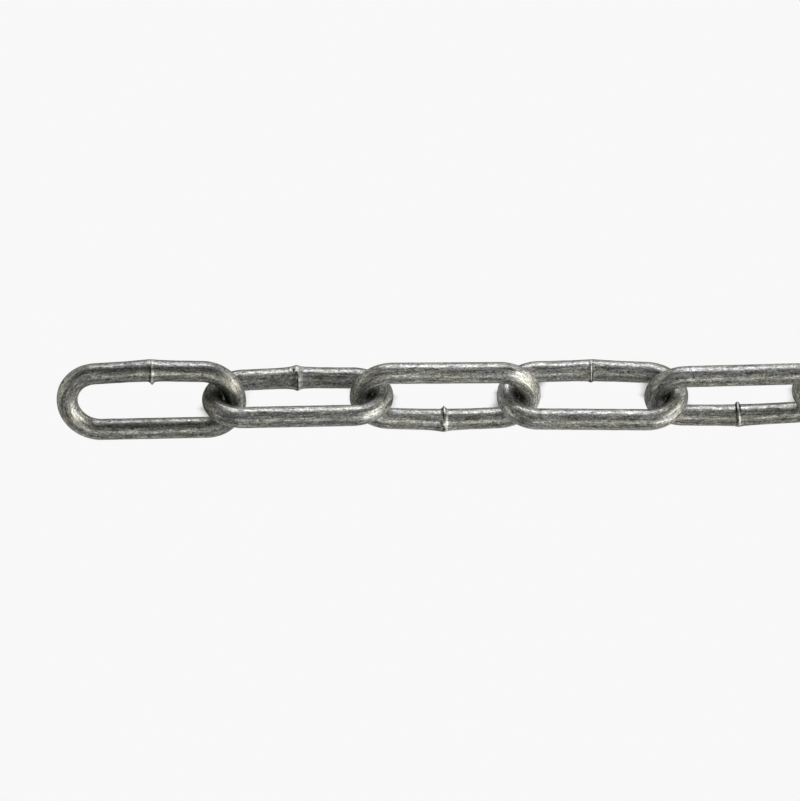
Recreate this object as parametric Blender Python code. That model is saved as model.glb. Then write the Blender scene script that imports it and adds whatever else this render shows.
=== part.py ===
"""A metre of long-link welded steel chain, galvanised, drawn out straight on a level floor.

Every link is one bent and butt-welded wire: two straight legs and two half-round bows. The links lie
rolled to one side and the other by turns, so each one's low leg is on the floor and its bows hang in
its neighbours' bows. Metres, +Z up. The chain runs along X. The origin is on the floor, in the middle
of the chain.
"""

import math

import bmesh
import bpy
from mathutils import Matrix, Vector

MM = 0.001

# The link: the wire's diameter, the eye's length (the chain's pitch) and the width over both legs
WIRE = 6.0 * MM
EYE_LENGTH = 42.0 * MM
WIDTH = 24.0 * MM
LINK_COUNT = 24
BEARING_GAP = 0.4 * MM

# The butt weld at the middle of one leg: the leg bows outward to it and swells, with a ridge of flash
WELD_BOW = 0.7 * MM
WELD_SWELL = 0.15 * MM
FLASH_HEIGHT = 0.45 * MM
FLASH_HALF_WIDTH = 0.7 * MM
WELD_REACH = 6.0 * MM

# Faces round the wire, and along each half-round bow
WIRE_SIDES = 12
BOW_STEPS = 10

# Zinc coating
STEEL_COLOUR = (0.36, 0.37, 0.37, 1.0)
STEEL_ROUGHNESS = 0.42

# How the first five links lie, the ones nearest -X: their roll in degrees, where a positive roll lifts
# the leg on the +Y side, then the height and the sideways offset of the six ends that they hang by
FIRST_ROLLS = (29.0, -54.0, 45.0, -42.0, 53.0)
FIRST_HEIGHTS = (7.2 * MM, 11.4 * MM, 11.6 * MM, 9.5 * MM, 11.0 * MM, 11.9 * MM)
FIRST_OFFSETS = (-1.45 * MM, -0.6 * MM, 0.2 * MM, 0.45 * MM, 0.15 * MM, 1.2 * MM)

# How the rest lies: height and wander of the bearing points, which decide the rolls
USUAL_HEIGHT = 10.4 * MM
HEIGHT_WANDER = 0.35 * MM
OFFSET_WANDER = 0.5 * MM

# The link that lies at exactly 45 degrees with a plain leg flat on the floor, and the last link
LEVEL_LINK = 12
LEVEL_ROLL = 45.0
LAST_ROLL = -30.0
LAST_HEIGHT = 6.7 * MM

# Links whose weld is on the leg that is up
WELD_UP_LINKS = (1, 10, 11, 12, 13, 14, 24)

WIRE_RADIUS = WIRE / 2
BOW_RADIUS = (WIDTH - WIRE) / 2
HALF_LEG = (EYE_LENGTH + WIRE) / 2 - BOW_RADIUS
HALF_LENGTH = HALF_LEG + BOW_RADIUS
LINK_STEP = EYE_LENGTH - BEARING_GAP
CENTRE_FROM_PIVOT = LINK_STEP - HALF_LENGTH
FLAT_RADIUS = WIRE_RADIUS * math.cos(math.pi / WIRE_SIDES)


def clear_scene():
    for item in list(bpy.data.objects):
        bpy.data.objects.remove(item, do_unlink=True)


def galvanised_steel():
    material = bpy.data.materials.new("galvanised_steel")
    material.use_nodes = True
    shader = material.node_tree.nodes["Principled BSDF"]
    shader.inputs["Base Color"].default_value = STEEL_COLOUR
    shader.inputs["Metallic"].default_value = 1.0
    shader.inputs["Roughness"].default_value = STEEL_ROUGHNESS
    return material


def welded_leg(along):
    """How far the welded leg stands out from a straight one, and its radius, at a place along it."""
    nearness = max(0.0, 1.0 - abs(along) / WELD_REACH)
    bow = WELD_BOW * (1.0 - abs(along) / HALF_LEG)
    radius = WIRE_RADIUS + WELD_SWELL * nearness
    if abs(along) < FLASH_HALF_WIDTH:
        radius += FLASH_HEIGHT
    return bow, radius


def wire_path():
    """The closed path of the wire: each point's centre, outward direction and radius.

    The link lies in its XY plane with its weld on the +Y leg. Its origin is where it hangs, on the
    axis of the bow that it hangs from, so its own centre is CENTRE_FROM_PIVOT along +X.
    """
    steps = []
    weld_places = (WELD_REACH, FLASH_HALF_WIDTH, 0.0, -FLASH_HALF_WIDTH, -WELD_REACH)
    for step in range(BOW_STEPS + 1):
        turn = math.pi * (step / BOW_STEPS - 0.5)
        outward = Vector((math.cos(turn), math.sin(turn), 0.0))
        steps.append((Vector((HALF_LEG, 0.0, 0.0)) + BOW_RADIUS * outward, outward, WIRE_RADIUS))
    for along in weld_places:
        bow, radius = welded_leg(along)
        steps.append((Vector((along, BOW_RADIUS + bow, 0.0)), Vector((0.0, 1.0, 0.0)), radius))
    for step in range(BOW_STEPS + 1):
        turn = math.pi * (step / BOW_STEPS + 0.5)
        outward = Vector((math.cos(turn), math.sin(turn), 0.0))
        steps.append((Vector((-HALF_LEG, 0.0, 0.0)) + BOW_RADIUS * outward, outward, WIRE_RADIUS))
    shift = Vector((CENTRE_FROM_PIVOT, 0.0, 0.0))
    return [(centre + shift, outward, radius) for centre, outward, radius in steps]


def link_mesh(material):
    """Carries the round section of the wire along its path, and joins the last ring to the first."""
    shape = bmesh.new()
    rings = []
    for centre, outward, radius in wire_path():
        ring = []
        for side in range(WIRE_SIDES):
            angle = math.tau * side / WIRE_SIDES
            across = math.cos(angle) * outward + math.sin(angle) * Vector((0.0, 0.0, 1.0))
            ring.append(shape.verts.new(centre + radius * across))
        rings.append(ring)
    for ring, following in zip(rings, rings[1:] + rings[:1]):
        for side in range(WIRE_SIDES):
            beside = (side + 1) % WIRE_SIDES
            shape.faces.new((ring[side], ring[beside], following[beside], following[side]))
    bmesh.ops.recalc_face_normals(shape, faces=shape.faces)
    mesh = bpy.data.meshes.new("link")
    shape.to_mesh(mesh)
    shape.free()
    mesh.materials.append(material)
    mesh.shade_smooth()
    mesh.set_sharp_from_angle(angle=math.radians(40.0))
    return mesh


def hanging_height(joint):
    """The height of the place where link number joint + 1 hangs; the last one is the chain's free end."""
    if joint < len(FIRST_HEIGHTS):
        return FIRST_HEIGHTS[joint]
    if joint == LINK_COUNT:
        return LAST_HEIGHT
    if joint in (LEVEL_LINK - 1, LEVEL_LINK):
        return BOW_RADIUS * math.sin(math.radians(LEVEL_ROLL)) + FLAT_RADIUS
    return USUAL_HEIGHT + HEIGHT_WANDER * math.sin(2.0 * joint)


def hanging_offset(joint):
    if joint < len(FIRST_OFFSETS):
        return FIRST_OFFSETS[joint]
    return OFFSET_WANDER * math.sin(1.3 * joint)


def hanging_points():
    """The places where the links hang in each other, one LINK_STEP apart, with the free end last."""
    points = [Vector((0.0, hanging_offset(0), hanging_height(0)))]
    for joint in range(1, LINK_COUNT + 1):
        offset, height = hanging_offset(joint), hanging_height(joint)
        drift, rise = offset - points[-1].y, height - points[-1].z
        along = math.sqrt(LINK_STEP**2 - rise**2 - drift**2)
        points.append(Vector((points[-1].x + along, offset, height)))
    return points


def link_roll(number, height, slope):
    """The roll of a link: as it lies in the first five, otherwise such that its low leg is on the floor."""
    if number <= len(FIRST_ROLLS):
        return math.radians(FIRST_ROLLS[number - 1])
    if number == LINK_COUNT:
        return math.radians(LAST_ROLL)
    if number == LEVEL_LINK:
        return math.radians(-LEVEL_ROLL)
    if number in WELD_UP_LINKS:
        lowest_place = height - abs(slope) * HALF_LEG
        roll = math.asin((lowest_place - WIRE_RADIUS) / BOW_RADIUS)
    else:
        standoff = WIRE_RADIUS + WELD_SWELL + FLASH_HEIGHT
        roll = math.asin((height - standoff) / (BOW_RADIUS + WELD_BOW))
    return roll if number % 2 else -roll


def link_frame(number, points):
    """The place and turn of a link: X along it, Y from its plain leg to its welded leg."""
    start, end = points[number - 1], points[number]
    along = (end - start).normalized()
    level = Vector((0.0, 0.0, 1.0)).cross(along).normalized()
    upright = along.cross(level)
    roll = link_roll(number, start.z + along.z * CENTRE_FROM_PIVOT, along.z)
    width = math.cos(roll) * level + math.sin(roll) * upright
    weld_is_high = number in WELD_UP_LINKS
    if weld_is_high != (roll > 0.0):
        width = -width
    frame = Matrix((along, width, along.cross(width))).transposed().to_4x4()
    frame.translation = start
    return frame


def middle_of_floor(frames, mesh):
    """The middle of the chain's box, at its lowest point, where the origin goes."""
    places = [frame @ vertex.co for frame in frames for vertex in mesh.vertices]
    low = Vector([min(place[axis] for place in places) for axis in range(3)])
    high = Vector([max(place[axis] for place in places) for axis in range(3)])
    middle = (low + high) / 2
    return Vector((middle.x, middle.y, low.z))


def build_chain():
    """Each link is a child of the one that it hangs in, one LINK_STEP along that link's own X axis."""
    points = hanging_points()
    frames = [link_frame(number, points) for number in range(1, LINK_COUNT + 1)]
    mesh = link_mesh(galvanised_steel())
    previous, previous_frame = None, Matrix.Translation(middle_of_floor(frames, mesh))
    for number, frame in enumerate(frames, start=1):
        link = bpy.data.objects.new(f"link_{number:02d}", mesh)
        bpy.context.scene.collection.objects.link(link)
        link.parent = previous
        link.matrix_local = previous_frame.inverted() @ frame
        previous, previous_frame = link, frame


clear_scene()
build_chain()
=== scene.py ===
"""Looks of a metre of long-link galvanised steel chain, seen from straight above, as it lies drawn out."""

import math

import bpy
import numpy as np
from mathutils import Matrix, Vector


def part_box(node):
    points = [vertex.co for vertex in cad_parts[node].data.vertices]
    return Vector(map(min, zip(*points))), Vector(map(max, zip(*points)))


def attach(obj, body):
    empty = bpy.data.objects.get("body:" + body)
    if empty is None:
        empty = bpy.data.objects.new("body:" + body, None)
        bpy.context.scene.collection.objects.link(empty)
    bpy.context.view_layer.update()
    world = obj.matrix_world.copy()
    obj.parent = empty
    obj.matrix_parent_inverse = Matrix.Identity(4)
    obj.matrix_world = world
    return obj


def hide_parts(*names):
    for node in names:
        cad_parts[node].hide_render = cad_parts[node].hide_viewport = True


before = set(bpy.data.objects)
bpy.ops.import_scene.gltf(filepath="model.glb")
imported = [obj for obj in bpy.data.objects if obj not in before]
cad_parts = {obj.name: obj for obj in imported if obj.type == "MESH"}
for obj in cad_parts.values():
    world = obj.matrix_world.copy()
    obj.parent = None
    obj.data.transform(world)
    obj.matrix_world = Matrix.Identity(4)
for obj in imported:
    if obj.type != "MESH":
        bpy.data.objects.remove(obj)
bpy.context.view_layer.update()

# The links. Each is one round steel wire, bent cold to two straight legs and two half-round bows, with
# its ends upset and butt-welded in the middle of one leg. The finished chain was dipped in molten zinc.
MM = 0.001
WIRE = 6.0 * MM
EYE_LENGTH = 42.0 * MM
WIDTH = 24.0 * MM
WELD_BOW = 0.7 * MM
WELD_REACH = 6.0 * MM
WELD_SWELL = 0.15 * MM
WIRE_RADIUS = WIRE / 2
BOW_RADIUS = (WIDTH - WIRE) / 2
HALF_LEG = (EYE_LENGTH + WIRE) / 2 - BOW_RADIUS
WIRE_LENGTH = 4 * HALF_LEG + 2 * math.pi * BOW_RADIUS
MIDDLE_OF_BOW = HALF_LEG + math.pi * BOW_RADIUS / 2


def link_axes(name):
    """A link's middle and its directions along, across to the welded leg, and through, from its solid.

    A link is alike on both sides of its middle and of its own plane, so the principal directions of
    its corners are its axes. The welded leg holds more corners, so their mean lies to its side.
    """
    corners = np.array([vertex.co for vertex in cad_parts[name].data.vertices])
    corners = np.unique(corners.round(6), axis=0)
    mean = corners.mean(0)
    along, across, _ = np.linalg.svd(corners - mean, full_matrices=False)[2]
    along = along * np.sign(along[0])
    reach = (corners - mean) @ across
    if reach.max() + reach.min() > 0:
        across, reach = -across, -reach
    lengthwise = (corners - mean) @ along
    middle = mean + along * (lengthwise.max() + lengthwise.min()) / 2
    middle = middle + across * (reach.min() + WIDTH / 2)
    through = np.cross(along, across)
    depth = (corners - middle) @ through
    middle = middle + through * (depth.max() + depth.min()) / 2
    return middle, along, across, through


# The mesh's stations along the wire: fine steps at the weld, wider ones beside it and even ones over all
# the rest. Its places round the wire are even too.
FINE_STATIONS, FINE_STEP = 40, 0.06 * MM
NEAR_STATIONS, NEAR_STEP = 14, 0.25 * MM
FAR_STATIONS = 182
WIRE_SIDES = 64


def wire_grid():
    """Distances along the wire from its weld, as a column, and angles round it from outward, as a row."""
    fine = np.arange(-FINE_STATIONS, FINE_STATIONS) * FINE_STEP
    near = fine[-1] + np.arange(1, NEAR_STATIONS + 1) * NEAR_STEP
    far = np.linspace(near[-1], WIRE_LENGTH - near[-1], FAR_STATIONS + 2)[1:-1]
    distance = np.concatenate([fine, near, far, WIRE_LENGTH - near[::-1]]) % WIRE_LENGTH
    angle = np.linspace(0, math.tau, WIRE_SIDES, endpoint=False)
    return distance[:, None], angle[None, :]


def wire_line(distance):
    """The wire's middle line in the link's plane, and its outward direction, at a distance from the weld.

    The line is traced by a bow's centre that slides along the legs, plus one bow radius in the outward
    direction, which turns only on the bows. The welded leg rises to its weld as a shallow tent.
    """
    bow = math.pi * BOW_RADIUS
    first = np.clip(distance - HALF_LEG, 0, bow)
    second = np.clip(distance - 3 * HALF_LEG - bow, 0, bow)
    turn = (first + second) / BOW_RADIUS
    outgoing = np.clip(distance, 0, HALF_LEG)
    returning = np.clip(distance - HALF_LEG - bow, 0, 2 * HALF_LEG)
    closing = np.clip(distance - 3 * HALF_LEG - 2 * bow, 0, HALF_LEG)
    slide = outgoing - returning + closing
    outward = np.stack([np.sin(turn), np.cos(turn)], axis=-1)
    line = BOW_RADIUS * outward
    line[..., 0] += slide
    on_welded_leg = (distance < HALF_LEG) | (distance > WIRE_LENGTH - HALF_LEG)
    line[..., 1] += np.where(on_welded_leg, WELD_BOW * (1 - np.abs(slide) / HALF_LEG), 0.0)
    return line, outward


def bead(height, left, right, at=(0.0, 0.0, 0.0), facing=0.0, spread=None, sharpness=2.0, painted_light_and_shade=0.0):
    """A ridge, lump or, with a negative height, a groove in the weld, in millimetres and degrees.

    It stands at a place along the leg, which may wander from the back over the top to the front, falls
    off over its own length to the left and to the right, and goes all the way round unless it faces one
    way, with a spread. It may carry a painted highlight on its zinc, or with a negative value painted
    shade.
    """
    at = at if isinstance(at, tuple) else (at, at, at)
    return {
        "height": height, "left": left, "right": right, "at": at,
        "facing": facing, "spread": spread, "sharpness": sharpness, "painted_light_and_shade": painted_light_and_shade,
    }


# The welds of the five links in view, each as it shows from above: the two upset ends meet in a thin
# fin of flash, with a highlight painted on its crest and shade painted in the groove beside it, and here
# and there it ran to a burr. Other beads paint highlight or shade in bands round the weld.
WELDS_IN_VIEW = {
    "link_01": [
        bead(0.16, 0.2, 0.4, (1.44, 1.75, 1.1), facing=25, spread=60, painted_light_and_shade=1.4),
        bead(-0.10, 0.3, 0.18, (1.0, 1.2, 0.72), facing=25, spread=58, painted_light_and_shade=-1.1),
        bead(0.02, 0.35, 0.35, 1.6, facing=-42, spread=24, painted_light_and_shade=1.7),
        bead(0.08, 0.5, 1.5, (1.7, 2.0, 1.6), facing=20, spread=70, painted_light_and_shade=0.25),
        bead(0.72, 0.55, 0.6, 1.0, facing=92, spread=26, painted_light_and_shade=-0.35),
        bead(0.06, 1.6, 1.2, 1.2),
    ],
    "link_02": [
        bead(0.42, 1.7, 1.0, (-0.37, -0.3, -0.25), sharpness=1.4),
        bead(0.22, 0.5, 0.6, -0.25, facing=88, spread=30),
        bead(-0.14, 0.24, 0.18, (-0.2, -0.14, -0.14), facing=30, spread=55, painted_light_and_shade=-1.2),
        bead(0.03, 0.8, 0.2, -0.5, facing=25, spread=60, painted_light_and_shade=-0.4),
        bead(0.08, 0.25, 0.9, 0.35, facing=10, spread=80, painted_light_and_shade=0.8),
        bead(0.07, 0.45, 0.5, -0.15, facing=-50, spread=15, painted_light_and_shade=1.8),
        bead(-0.10, 0.25, 0.25, -1.2, facing=-38, spread=12, painted_light_and_shade=-1.3),
        bead(-0.08, 0.2, 0.2, -0.5, facing=-24, spread=8, painted_light_and_shade=-1.0),
        bead(0.06, 0.35, 0.3, -2.1, facing=-45, spread=12, painted_light_and_shade=1.0),
    ],
    "link_03": [
        bead(0.34, 0.8, 0.75, (0.0, -0.1, -0.2), facing=-30, spread=90, sharpness=4.0),
        bead(0.66, 0.42, 0.45, 0.0, facing=-88, spread=30, sharpness=1.6),
        bead(-0.22, 0.24, 0.2, -0.34, facing=-20, spread=20, painted_light_and_shade=-1.3),
        bead(0.04, 0.15, 0.15, 0.16, facing=-58, spread=22, painted_light_and_shade=2.2),
        bead(-0.05, 0.2, 0.2, -0.5, facing=-62, spread=30, painted_light_and_shade=-1.1),
        bead(-0.05, 0.12, 0.12, 0.52, facing=-60, spread=25, painted_light_and_shade=-0.9),
        bead(0.05, 0.16, 0.22, (0.76, 0.8, 0.75), facing=10, spread=80, painted_light_and_shade=1.4),
        bead(0.10, 0.22, 0.3, -0.2, facing=22, spread=10, painted_light_and_shade=1.8),
        bead(0.10, 0.2, 0.2, 0.35, facing=38, spread=9, painted_light_and_shade=1.8),
        bead(0.10, 0.3, 0.25, -0.7, facing=45, spread=10, painted_light_and_shade=1.8),
        bead(-0.12, 0.3, 0.25, -0.15, facing=54, spread=9, painted_light_and_shade=-1.6),
        bead(0.08, 0.2, 0.25, 0.6, facing=58, spread=9, painted_light_and_shade=1.5),
        bead(0.18, 2.2, 1.8, -0.4, facing=90, spread=50, painted_light_and_shade=-0.2),
    ],
    "link_04": [
        bead(0.14, 0.13, 0.13, -0.31, facing=20, spread=58, painted_light_and_shade=2.4),
        bead(-0.12, 0.18, 0.15, -0.68, facing=15, spread=58, painted_light_and_shade=-1.2),
        bead(-0.10, 0.12, 0.14, 0.02, facing=20, spread=55, painted_light_and_shade=-1.2),
        bead(0.04, 0.1, 0.4, 0.32, facing=10, spread=70, painted_light_and_shade=0.6),
        bead(0.03, 0.3, 0.3, -0.3, facing=-52, spread=15, painted_light_and_shade=2.0),
        bead(0.34, 0.75, 0.5, -0.35, facing=92, spread=26, painted_light_and_shade=-0.2),
        bead(-0.06, 0.35, 0.3, -0.45, facing=68, spread=8, painted_light_and_shade=-1.2),
    ],
    "link_05": [
        bead(0.30, 0.62, 0.62, -0.42, facing=-50, spread=80, sharpness=4.0),
        bead(0.45, 0.6, 0.6, -0.42, facing=-85, spread=45, sharpness=4.0),
        bead(-0.16, 0.24, 0.2, -0.84, facing=-42, spread=36, painted_light_and_shade=-1.3),
        bead(-0.16, 0.2, 0.24, 0.15, facing=-40, spread=34, painted_light_and_shade=-1.3),
        bead(0.03, 0.14, 0.14, -0.42, facing=-60, spread=22, painted_light_and_shade=2.4),
        bead(0.14, 0.2, 0.22, (-0.2, -0.2, 0.05), facing=40, spread=38, painted_light_and_shade=1.6),
        bead(-0.05, 0.3, 0.2, -0.7, facing=35, spread=35, painted_light_and_shade=-0.8),
        bead(0.20, 1.3, 1.3, -0.2, facing=90, spread=40),
    ],
}

# What all welds share: the ways of facing, in degrees, at which a bead's line is given, and how many
# ripples run round a bead and how deep they are. In an ordinary weld the groove is 0.32 mm from the fin.
LINE_FACINGS = (-70, 0, 70)
RIPPLES_ROUND = (5, 9, 14)
RIPPLE_DEPTH = 0.14
GROOVE_FROM_FIN = 0.32


def ordinary_weld(draw):
    """A weld like those in view: two burrs, a hip, a fin that wanders and a groove beside the fin."""
    middle = draw.uniform(-0.6, 0.6)
    fin = tuple(middle + draw.uniform(-0.3, 0.3) for _ in range(3))
    groove = tuple(place - GROOVE_FROM_FIN for place in fin)
    groove_facing = draw.uniform(-60, 60)
    burrs = [
        bead(
            draw.uniform(0.2, 0.55), draw.uniform(0.3, 0.6), draw.uniform(0.3, 0.6), middle,
            facing=draw.choice((-90, 90)) + draw.uniform(-20, 20), spread=draw.uniform(12, 35),
        )
        for _ in range(2)
    ]
    return burrs + [
        bead(draw.uniform(0.1, 0.34), draw.uniform(0.6, 1.3), draw.uniform(0.6, 1.3), middle),
        # The fin carries a painted highlight and the groove beside it painted shade.
        bead(draw.uniform(0.12, 0.22), draw.uniform(0.14, 0.3), draw.uniform(0.14, 0.3), fin, painted_light_and_shade=1.4),
        bead(-draw.uniform(0.06, 0.16), 0.18, 0.16, groove, facing=groove_facing, spread=60, painted_light_and_shade=-1.1),
    ]


def bell(offset, half_width, sharpness=2.0):
    """A bell curve: e to the minus x, where x is the offset in half widths, raised to the sharpness."""
    return np.exp(-(np.abs(offset / half_width) ** sharpness))


def weld_relief(beads, from_weld, facing, draw):
    """The height of the weld's beads and their painted light and shade, at a place along the leg and a way
    of facing.

    Each bead is a bell curve of the distance from its own line, with one width to each side, made a
    little uneven round the wire, times a bell curve of the turn away from the way it faces. The height
    is the sum of the beads' heights times their curves, and the painted light and shade likewise.
    """
    relief = np.zeros(np.broadcast(from_weld, facing).shape)
    painted_light_and_shade = np.zeros(relief.shape)
    for one in beads:
        line = np.interp(np.degrees(facing), LINE_FACINGS, one["at"]) * MM
        beside = from_weld - line
        half_width = np.where(beside < 0, one["left"], one["right"]) * MM
        phases = draw.uniform(0, math.tau, len(RIPPLES_ROUND))
        ripples = sum(np.sin(count * facing + phase) for count, phase in zip(RIPPLES_ROUND, phases))
        curve = (1 + RIPPLE_DEPTH * ripples) * bell(beside, half_width, one["sharpness"])
        if one["spread"]:
            turned = np.degrees(np.angle(np.exp(1j * (facing - math.radians(one["facing"])))))
            curve = curve * bell(turned, one["spread"])
        relief += one["height"] * MM * curve
        painted_light_and_shade += one["painted_light_and_shade"] * curve
    return relief, painted_light_and_shade


# The zinc lies a little unevenly on the wire, in soft waves some millimetres long that cross each other
# at all angles.
ZINC_WAVES = 70
FINEST_WAVE, COARSEST_WAVE = 2.4 * MM, 8.0 * MM
ZINC_WAVE_HEIGHT = 0.018 * MM


def unevenness(distance, angle, draw):
    """A sum of plane waves over the unrolled wire, with whole numbers of waves along and round it.

    Each wave is the cosine of its number along times the distance's share of the loop, plus its number
    round times the angle, plus a phase. Long waves are higher than short ones.
    """
    total = np.zeros(np.broadcast(distance, angle).shape)
    for _ in range(ZINC_WAVES):
        length = draw.uniform(FINEST_WAVE, COARSEST_WAVE)
        heading = draw.uniform(0, math.pi)
        cycles_along = round(WIRE_LENGTH * math.cos(heading) / length)
        cycles_round = round(math.tau * WIRE_RADIUS * math.sin(heading) / length)
        phase = draw.uniform(0, math.tau)
        wave = np.cos(math.tau * cycles_along * distance / WIRE_LENGTH + cycles_round * angle + phase)
        total += wave * length / COARSEST_WAVE
    return total / math.sqrt(ZINC_WAVES)


def link_surface(axes, beads, draw):
    """The link's skin as a closed grid, the way that each of its points faces, and its weld's painted light
    and shade.

    A point is the middle line's plus the wire's radius, with the swelling, the weld's relief and the
    zinc's unevenness added, in the direction that turns from outward to through by the angle. Facing is
    nought for up, a quarter turn for the front and minus a quarter turn for the back.
    """
    middle, along, across, through = axes
    distance, angle = wire_grid()
    line, outward = wire_line(distance[:, 0])
    out_of_loop = outward @ np.stack([along, across])
    backward = np.cos(angle) * out_of_loop[:, 1:2] + np.sin(angle) * through[1]
    upward = np.cos(angle) * out_of_loop[:, 2:3] + np.sin(angle) * through[2]
    facing = np.arctan2(-backward, upward)

    from_weld = np.where(distance > WIRE_LENGTH / 2, distance - WIRE_LENGTH, distance)
    radius = WIRE_RADIUS + WELD_SWELL * np.clip(1 - np.abs(from_weld) / WELD_REACH, 0, 1)
    relief, painted_light_and_shade = weld_relief(beads, from_weld, facing, draw)
    radius = radius + relief
    radius = radius + ZINC_WAVE_HEIGHT * unevenness(distance, angle, draw)

    in_link = np.zeros((*radius.shape, 3))
    in_link[..., :2] = line[:, None, :] + (radius * np.cos(angle))[..., None] * outward[:, None, :]
    in_link[..., 2] = radius * np.sin(angle)
    return middle + in_link @ np.stack([along, across, through]), facing, painted_light_and_shade


def closed_tube(name, points):
    """A mesh of a grid of points that closes on itself both ways: along the wire and round it."""
    stations, sides = points.shape[:2]
    place = np.arange(stations * sides).reshape(stations, sides)
    onward, beside = np.roll(place, -1, axis=0), np.roll(place, -1, axis=1)
    diagonal = np.roll(onward, -1, axis=1)
    faces = np.stack([place, beside, diagonal, onward], axis=-1).reshape(-1, 4)
    mesh = bpy.data.meshes.new(name)
    mesh.vertices.add(stations * sides)
    mesh.vertices.foreach_set("co", points.astype(np.float32).ravel())
    mesh.loops.add(faces.size)
    mesh.loops.foreach_set("vertex_index", faces.astype(np.int32).ravel())
    mesh.polygons.add(len(faces))
    mesh.polygons.foreach_set("loop_start", np.arange(0, faces.size, 4, dtype=np.int32))
    mesh.update(calc_edges=True)
    mesh.shade_smooth()
    return mesh


# The zinc's look: a dull grey, a little cool or warm, that clouds, patches, grain, speckle and streaks
# swing up and down, with dark pits. Pale zinc is less metallic. Pale patches, grain and streaks stand up
# from the rest, and the tops of the patches and the grain are smoother.
ZINC_GREY = 0.53
ZINC_COOL = (0.95, 0.98, 1.0, 1.0)
ZINC_WARM = (1.0, 1.0, 0.92, 1.0)
CLOUD_SWING, PATCH_SWING, GRAIN_SWING, SPECKLE_SWING, STREAK_SWING = 0.12, 0.23, 0.36, 0.34, 0.38
NOISE_LOW, NOISE_HIGH = 0.36, 0.64
PIT_BOTTOM, PIT_RIM = 0.32, 0.40
PIT_GREY = 0.4
DARK_ZINC, PALE_ZINC = 0.25, 0.9
PALE_METALLIC = 0.62
HOLLOWS, TOPS = 0.8, 1.2
HOLLOW_ROUGHNESS, TOP_ROUGHNESS = 0.46, 0.30
PATCH_RISE, GRAIN_RISE, STREAK_RISE = 1.5, 0.6, 0.4
RISE_HEIGHT = 0.015 * MM


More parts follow.
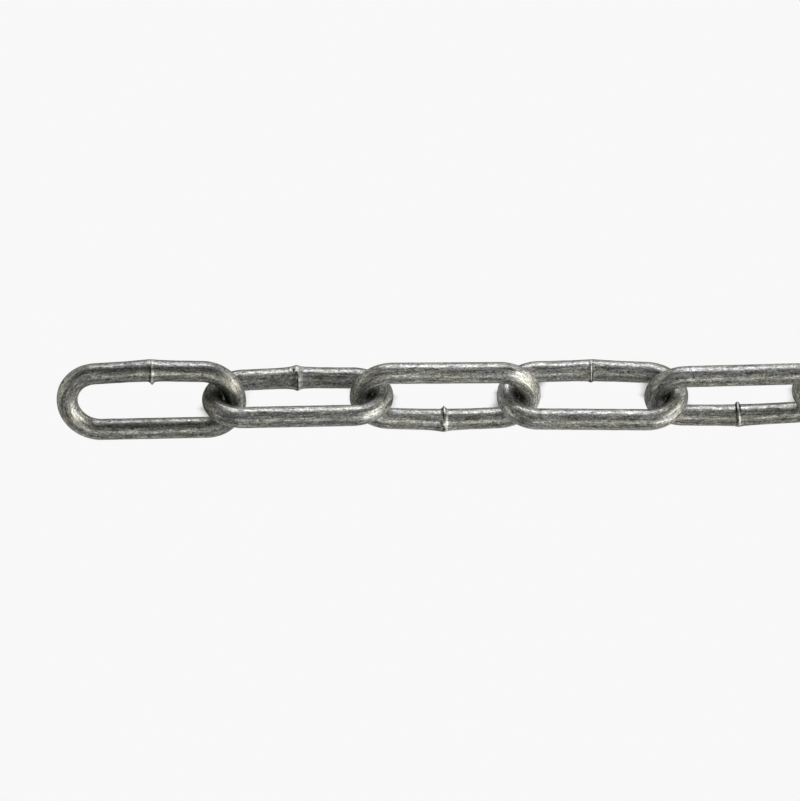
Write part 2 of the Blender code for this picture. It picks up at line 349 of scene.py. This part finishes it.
def galvanised_steel():
    """Dull zinc, whose pattern follows the unrolled wire and whose grey is scaled by the link's tone, which
    carries painted light and shade.
    """
    material = bpy.data.materials.new("galvanised_steel")
    material.use_nodes = True
    nodes, links = material.node_tree.nodes, material.node_tree.links
    shader = nodes["Principled BSDF"]
    unrolled = nodes.new("ShaderNodeAttribute")
    unrolled.attribute_name = "unrolled"
    tone_with_painted_light = nodes.new("ShaderNodeAttribute")
    tone_with_painted_light.attribute_name = "tone_with_painted_light"

    def mottling(length, breadth, detail, roughness=0.55):
        """Noise whose patches have a length along the wire and a breadth round it, in millimetres."""
        stretch = nodes.new("ShaderNodeVectorMath")
        stretch.operation = "MULTIPLY"
        stretch.inputs[1].default_value = (1 / (length * MM), 1 / (breadth * MM), 1 / (breadth * MM))
        noise = nodes.new("ShaderNodeTexNoise")
        noise.inputs["Scale"].default_value = 1.0
        noise.inputs["Detail"].default_value = detail
        noise.inputs["Roughness"].default_value = roughness
        links.new(unrolled.outputs["Vector"], stretch.inputs[0])
        links.new(stretch.outputs["Vector"], noise.inputs["Vector"])
        return noise.outputs["Fac"]

    def stretched(value, low, high, to_low, to_high):
        """A value taken in a straight line from one range to another, and held at its ends."""
        node = nodes.new("ShaderNodeMapRange")
        for name, number in zip(("From Min", "From Max", "To Min", "To Max"), (low, high, to_low, to_high)):
            node.inputs[name].default_value = number
        links.new(value, node.inputs["Value"])
        return node.outputs["Result"]

    def combined(operation, first, second):
        """A value and a second value, or a number, put together by one operation of arithmetic."""
        node = nodes.new("ShaderNodeMath")
        node.operation = operation
        links.new(first, node.inputs[0])
        if isinstance(second, float):
            node.inputs[1].default_value = second
        else:
            links.new(second, node.inputs[1])
        return node.outputs["Value"]

    def swinging(noise, swing):
        """A factor that goes with the noise from one less the swing to one and the swing."""
        return stretched(noise, NOISE_LOW, NOISE_HIGH, 1 - swing, 1 + swing)

    clouds = mottling(length=9.0, breadth=2.2, detail=2.0)
    patches = mottling(length=2.6, breadth=1.0, detail=3.0, roughness=0.6)
    grain = mottling(length=0.9, breadth=0.4, detail=3.0, roughness=0.7)
    streaks = mottling(length=6.0, breadth=0.42, detail=3.0, roughness=0.65)
    speckle = mottling(length=0.5, breadth=0.4, detail=2.0)
    pits = mottling(length=1.1, breadth=0.8, detail=2.0)
    warmth = mottling(length=7.0, breadth=3.0, detail=2.0)

    grey = combined("MULTIPLY", swinging(clouds, CLOUD_SWING), swinging(patches, PATCH_SWING))
    grey = combined("MULTIPLY", grey, swinging(grain, GRAIN_SWING))
    grey = combined("MULTIPLY", grey, swinging(speckle, SPECKLE_SWING))
    grey = combined("MULTIPLY", grey, swinging(streaks, STREAK_SWING))
    grey = combined("MULTIPLY", grey, stretched(pits, PIT_BOTTOM, PIT_RIM, PIT_GREY, 1.0))
    # The tone carries painted highlights, reflections and shade as well as the link's own grey.
    grey = combined("MULTIPLY", grey, tone_with_painted_light.outputs["Fac"])
    grey = combined("MULTIPLY", grey, ZINC_GREY)
    tint = nodes.new("ShaderNodeMix")
    tint.data_type = "RGBA"
    tint.inputs["A"].default_value = ZINC_COOL
    tint.inputs["B"].default_value = ZINC_WARM
    links.new(stretched(warmth, NOISE_LOW, NOISE_HIGH, 0.0, 1.0), tint.inputs["Factor"])
    colour = nodes.new("ShaderNodeVectorMath")
    colour.operation = "SCALE"
    links.new(tint.outputs["Result"], colour.inputs[0])
    links.new(grey, colour.inputs["Scale"])
    links.new(colour.outputs["Vector"], shader.inputs["Base Color"])
    links.new(stretched(grey, DARK_ZINC, PALE_ZINC, 1.0, PALE_METALLIC), shader.inputs["Metallic"])
    level = combined("ADD", patches, grain)
    roughness = stretched(level, HOLLOWS, TOPS, HOLLOW_ROUGHNESS, TOP_ROUGHNESS)
    links.new(roughness, shader.inputs["Roughness"])

    rise = combined("MULTIPLY", patches, PATCH_RISE)
    for pattern, share in ((grain, GRAIN_RISE), (streaks, STREAK_RISE)):
        rise = combined("ADD", rise, combined("MULTIPLY", pattern, share))
    bump = nodes.new("ShaderNodeBump")
    bump.inputs["Strength"].default_value = 1.0
    bump.inputs["Distance"].default_value = RISE_HEIGHT
    links.new(rise, bump.inputs["Height"])
    links.new(bump.outputs["Normal"], shader.inputs["Normal"])
    return material


# The greys of the links in view, and beside that the factors for their left and right bows, which paint
# shade on some bows and highlight on others. Dark and pale bands of painted reflection run along the first
# link's legs: the way that a band faces and its half width, in degrees, and the share of the grey that it
# takes away. Painted shade darkens the inside of the bows where links bear on each other.
LINK_TONES = {"link_01": 0.84, "link_02": 0.9, "link_03": 1.0, "link_04": 1.0, "link_05": 0.94}
USUAL_TONES = (0.88, 1.05)
BOW_PAINTED_LIGHT = {
    "link_01": (1.15, 0.9), "link_02": (0.42, 0.9), "link_03": (0.7, 1.65), "link_04": (1.1, 0.92),
    "link_05": (0.78, 1.0),
}
PAINTED_REFLECTION_BANDS = {"link_01": ((-14, 12, 0.42), (19, 12, -0.22))}
PAINTED_LIGHT_LOW, PAINTED_LIGHT_HIGH = 0.06, 2.6
BEARING_PAINTED_SHADE = 0.75
BEARING_PAINTED_SHADE_REACH = 7.0 * MM


def zinc_tone_with_painted_light(name, usual_tone, facing, painted_light_and_shade, bearings):
    """How pale a link's zinc is, with painted light and shade: its own tone times the weld's painted light
    and shade and a factor for each painted mark.

    A painted reflection band is a bell curve of the way of facing, on the legs, whose mask is the fourth
    power of the outward direction's part across. A bow's mask, for its painted shade or highlight, is the
    square of its part to that bow's side. The painted shade at a bearing is a bell curve of the distance
    from the bearing, on the inside of the bow.
    """
    distance, angle = wire_grid()
    outward = wire_line(distance[:, 0])[1]
    tone_with_painted_light = LINK_TONES.get(name, usual_tone) * np.clip(1 + painted_light_and_shade, PAINTED_LIGHT_LOW, PAINTED_LIGHT_HIGH)
    # Dark and pale bands of painted reflection along the legs, by the way the zinc faces.
    for way, half_width, taken in PAINTED_REFLECTION_BANDS.get(name, ()):
        tone_with_painted_light = tone_with_painted_light * (1 - taken * outward[:, 1:] ** 4 * bell(np.degrees(facing) - way, half_width))
    # Painted shade and highlight on each bow.
    for side, bow_painted_light in zip((-1, 1), BOW_PAINTED_LIGHT.get(name, (1.0, 1.0))):
        tone_with_painted_light = tone_with_painted_light * (1 + (bow_painted_light - 1) * np.clip(side * outward[:, :1], 0, 1) ** 2)
    # Painted shade on the inside of the bows at each bearing, where a neighbouring link hangs over them.
    inside = (1 - np.cos(angle)) / 2
    for bearing in bearings:
        tone_with_painted_light = tone_with_painted_light * (1 - BEARING_PAINTED_SHADE * bell(distance - bearing, BEARING_PAINTED_SHADE_REACH) * inside)
    return tone_with_painted_light


def unrolled_wire():
    """The skin's places as if the wire were straight: the distance, and the point on its round section."""
    distance, angle = wire_grid()
    section = WIRE_RADIUS * np.cos(angle), WIRE_RADIUS * np.sin(angle)
    return np.stack(np.broadcast_arrays(distance, *section), axis=-1)


zinc = galvanised_steel()
for number, name in enumerate(sorted(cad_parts), start=1):
    draw = np.random.default_rng(number)
    usual_tone, usual_weld = draw.uniform(*USUAL_TONES), ordinary_weld(draw)
    beads = WELDS_IN_VIEW.get(name, usual_weld)
    points, facing, painted_light_and_shade = link_surface(link_axes(name), beads, draw)
    # The places where neighbouring links bear on this one, which get painted shade.
    bearings = []
    if number > 1:
        bearings.append(WIRE_LENGTH - MIDDLE_OF_BOW)
    if number < len(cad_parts):
        bearings.append(MIDDLE_OF_BOW)
    tone_with_painted_light = zinc_tone_with_painted_light(name, usual_tone, facing, painted_light_and_shade, bearings)
    # Each link's pattern is taken a metre further on, so that no two links are alike
    own_stretch = unrolled_wire() + number
    mesh = closed_tube(f"{name}_wire", points)
    mesh.attributes.new("unrolled", "FLOAT_VECTOR", "POINT")
    mesh.attributes["unrolled"].data.foreach_set("vector", own_stretch.astype(np.float32).ravel())
    # The tone, with its painted light and shade, goes to the material as an attribute.
    mesh.attributes.new("tone_with_painted_light", "FLOAT", "POINT")
    mesh.attributes["tone_with_painted_light"].data.foreach_set("value", tone_with_painted_light.astype(np.float32).ravel())
    mesh.materials.append(zinc)
    link = bpy.data.objects.new(f"{name}_wire", mesh)
    bpy.context.scene.collection.objects.link(link)
    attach(link, name)
    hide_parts(name)

# The floor: one pale sheet, as of a light table. What the zinc mirrors is its lit upper side. The camera
# sees the even pale light behind it, but dark where crossed links hang over it, and sees any link that a
# folded chain takes below it.
FLOOR_LEFT, FLOOR_RIGHT, FLOOR_FRONT, FLOOR_BACK = -20.0, 20.0, -12.0, 28.0
FLOOR_COLOUR = (0.8, 0.8, 0.8, 1.0)
FLOOR_ROUGHNESS = 0.2

floor_mesh = bpy.data.meshes.new("floor")
floor_corners = [
    (FLOOR_LEFT, FLOOR_FRONT, 0.0), (FLOOR_RIGHT, FLOOR_FRONT, 0.0),
    (FLOOR_RIGHT, FLOOR_BACK, 0.0), (FLOOR_LEFT, FLOOR_BACK, 0.0),
]
floor_mesh.from_pydata(floor_corners, [], [(0, 1, 2, 3)])
sheet = bpy.data.materials.new("pale_sheet")
sheet.use_nodes = True
sheet_nodes, sheet_links = sheet.node_tree.nodes, sheet.node_tree.links
lit_side = sheet_nodes["Principled BSDF"]
lit_side.inputs["Base Color"].default_value = FLOOR_COLOUR
lit_side.inputs["Roughness"].default_value = FLOOR_ROUGHNESS

# The dark under crossed links: the share of the sky that is open within a hanging link's reach, less some
# of the share within a lying link's. That is low under links that hang, and not beside one that lies.
HANGING_REACH = 12 * MM
LYING_REACH = 5 * MM
LYING_SHARE = 0.45
DARK_BELOW, CLEAR_ABOVE = 0.06, 0.14
SHADE_RAYS = 96

under_hanging = sheet_nodes.new("ShaderNodeAmbientOcclusion")
under_hanging.inputs["Distance"].default_value = HANGING_REACH
beside_lying = sheet_nodes.new("ShaderNodeAmbientOcclusion")
beside_lying.inputs["Distance"].default_value = LYING_REACH
under_hanging.samples = beside_lying.samples = SHADE_RAYS
openness = sheet_nodes.new("ShaderNodeMath")
openness.operation = "MULTIPLY_ADD"
openness.inputs[1].default_value = -LYING_SHARE
sheet_links.new(beside_lying.outputs["AO"], openness.inputs[0])
sheet_links.new(under_hanging.outputs["AO"], openness.inputs[2])
clear_share = sheet_nodes.new("ShaderNodeMapRange")
clear_share.inputs["From Min"].default_value = DARK_BELOW
clear_share.inputs["From Max"].default_value = CLEAR_ABOVE
sheet_links.new(openness.outputs["Value"], clear_share.inputs["Value"])

# The band of floor on either side of the chain's middle line where that dark shows, and how the sheet's
# shaders are shared out: the camera's rays go through it, and other rays meet its lit upper side.
CHAIN_BAND = 14 * MM

place = sheet_nodes.new("ShaderNodeTexCoord")
split = sheet_nodes.new("ShaderNodeSeparateXYZ")
in_band = sheet_nodes.new("ShaderNodeMath")
in_band.operation = "COMPARE"
in_band.inputs[1].default_value, in_band.inputs[2].default_value = 0.0, CHAIN_BAND
sheet_links.new(place.outputs["Object"], split.inputs["Vector"])
sheet_links.new(split.outputs["Y"], in_band.inputs[0])

clear, shaded_clear = (sheet_nodes.new("ShaderNodeBsdfTransparent") for _ in range(2))
sheet_links.new(clear_share.outputs["Result"], shaded_clear.inputs["Color"])
seen_by_camera = sheet_nodes.new("ShaderNodeMixShader")
sheet_links.new(in_band.outputs["Value"], seen_by_camera.inputs["Fac"])
sheet_links.new(clear.outputs["BSDF"], seen_by_camera.inputs[1])
sheet_links.new(shaded_clear.outputs["BSDF"], seen_by_camera.inputs[2])

sheet_ray = sheet_nodes.new("ShaderNodeLightPath")
sheet_side = sheet_nodes.new("ShaderNodeNewGeometry")
to_other_rays = sheet_nodes.new("ShaderNodeMixShader")
sheet_links.new(sheet_side.outputs["Backfacing"], to_other_rays.inputs["Fac"])
sheet_links.new(lit_side.outputs["BSDF"], to_other_rays.inputs[1])
sheet_links.new(clear.outputs["BSDF"], to_other_rays.inputs[2])
surface = sheet_nodes.new("ShaderNodeMixShader")
sheet_links.new(sheet_ray.outputs["Is Camera Ray"], surface.inputs["Fac"])
sheet_links.new(to_other_rays.outputs["Shader"], surface.inputs[1])
sheet_links.new(seen_by_camera.outputs["Shader"], surface.inputs[2])
sheet_links.new(surface.outputs["Shader"], sheet_nodes["Material Output"].inputs["Surface"])
floor_mesh.materials.append(sheet)
floor = bpy.data.objects.new("floor", floor_mesh)
bpy.context.scene.collection.objects.link(floor)

# The studio: soft panels a long way off, so that they light the whole metre alike. The main two stand to
# the right, one on the floor and one above it, a narrow one behind, and dim ones to the left and in front.
PANEL_DISTANCE = 8.0


def panel(name, azimuth, elevation, half_angles, radiance, colour):
    """An area light that faces the middle of the floor, from an azimuth and an elevation in degrees.

    Its half width and half height are its distance times the tangents of its half angles, and its power
    is pi times its area times its radiance.
    """
    half_width, half_height = (PANEL_DISTANCE * math.tan(math.radians(half)) for half in half_angles)
    light = bpy.data.lights.new(name, "AREA")
    light.shape = "RECTANGLE"
    light.size, light.size_y = 2 * half_width, 2 * half_height
    light.energy = radiance * 4 * math.pi * half_width * half_height
    light.color = colour
    lamp = bpy.data.objects.new(name, light)
    turn, rise = math.radians(azimuth), math.radians(elevation)
    ray = Vector((math.cos(turn) * math.cos(rise), math.sin(turn) * math.cos(rise), math.sin(rise)))
    lamp.location = PANEL_DISTANCE * ray
    lamp.rotation_euler = (-ray).to_track_quat("-Z", "Y").to_euler()
    lamp.visible_camera = False
    bpy.context.scene.collection.objects.link(lamp)


panel("low_panel", 4, 7, half_angles=(60, 6.5), radiance=1.7, colour=(1.02, 1.0, 0.96))
panel("main_panel", -12, 33, half_angles=(40, 15), radiance=2.3, colour=(1.07, 1.02, 0.91))
panel("back_panel", 96, 11, half_angles=(14, 13), radiance=2.9, colour=(1.0, 0.99, 1.01))
panel("left_panel", 175, 10, half_angles=(30, 6), radiance=1.1, colour=(1.08, 1.04, 0.84))
panel("front_panel", -74, 56, half_angles=(33, 12), radiance=0.8, colour=(1.05, 1.03, 0.91))

# The studio's dim walls light the chain from all sides, also from where no panel stands. The camera sees
# even pale light in their place.
WALLS = (0.145, 0.145, 0.141, 1.0)
PALE = (0.94, 0.94, 0.94, 1.0)

studio = bpy.data.worlds.new("studio")
bpy.context.scene.world = studio
studio.use_nodes = True
studio_nodes, studio_links = studio.node_tree.nodes, studio.node_tree.links
walls = studio_nodes["Background"]
walls.inputs["Color"].default_value = WALLS
seen = studio_nodes.new("ShaderNodeBackground")
seen.inputs["Color"].default_value = PALE
ray = studio_nodes.new("ShaderNodeLightPath")
choice = studio_nodes.new("ShaderNodeMixShader")
studio_links.new(ray.outputs["Is Camera Ray"], choice.inputs["Fac"])
studio_links.new(walls.outputs["Background"], choice.inputs[1])
studio_links.new(seen.outputs["Background"], choice.inputs[2])
studio_links.new(choice.outputs["Shader"], studio_nodes["World Output"].inputs["Surface"])

# The camera looks straight down through a long lens. The first link's left end and middle fall on the
# picture's column and row that they have in the photo.
PICTURE_WIDE = 800
PICTURE_HIGH = 801
PIXELS_PER_METRE = 3541.0
LEFT_END_COLUMN = 56.0
FIRST_LINK_ROW = 399.0
CAMERA_HEIGHT = 1.3
WIRE_TOPS = 0.011
SENSOR = 36.0

low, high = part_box("link_01")
lens = bpy.data.cameras.new("camera")
lens.sensor_width = SENSOR
lens.lens = SENSOR * (CAMERA_HEIGHT - WIRE_TOPS) * PIXELS_PER_METRE / PICTURE_WIDE
camera = bpy.data.objects.new("camera", lens)
camera.location = (
    low.x + (PICTURE_WIDE / 2 - LEFT_END_COLUMN) / PIXELS_PER_METRE,
    (low.y + high.y) / 2 - (PICTURE_HIGH / 2 - FIRST_LINK_ROW) / PIXELS_PER_METRE,
    CAMERA_HEIGHT,
)
bpy.context.scene.collection.objects.link(camera)
bpy.context.scene.camera = camera
bpy.context.scene.view_settings.view_transform = "Standard"
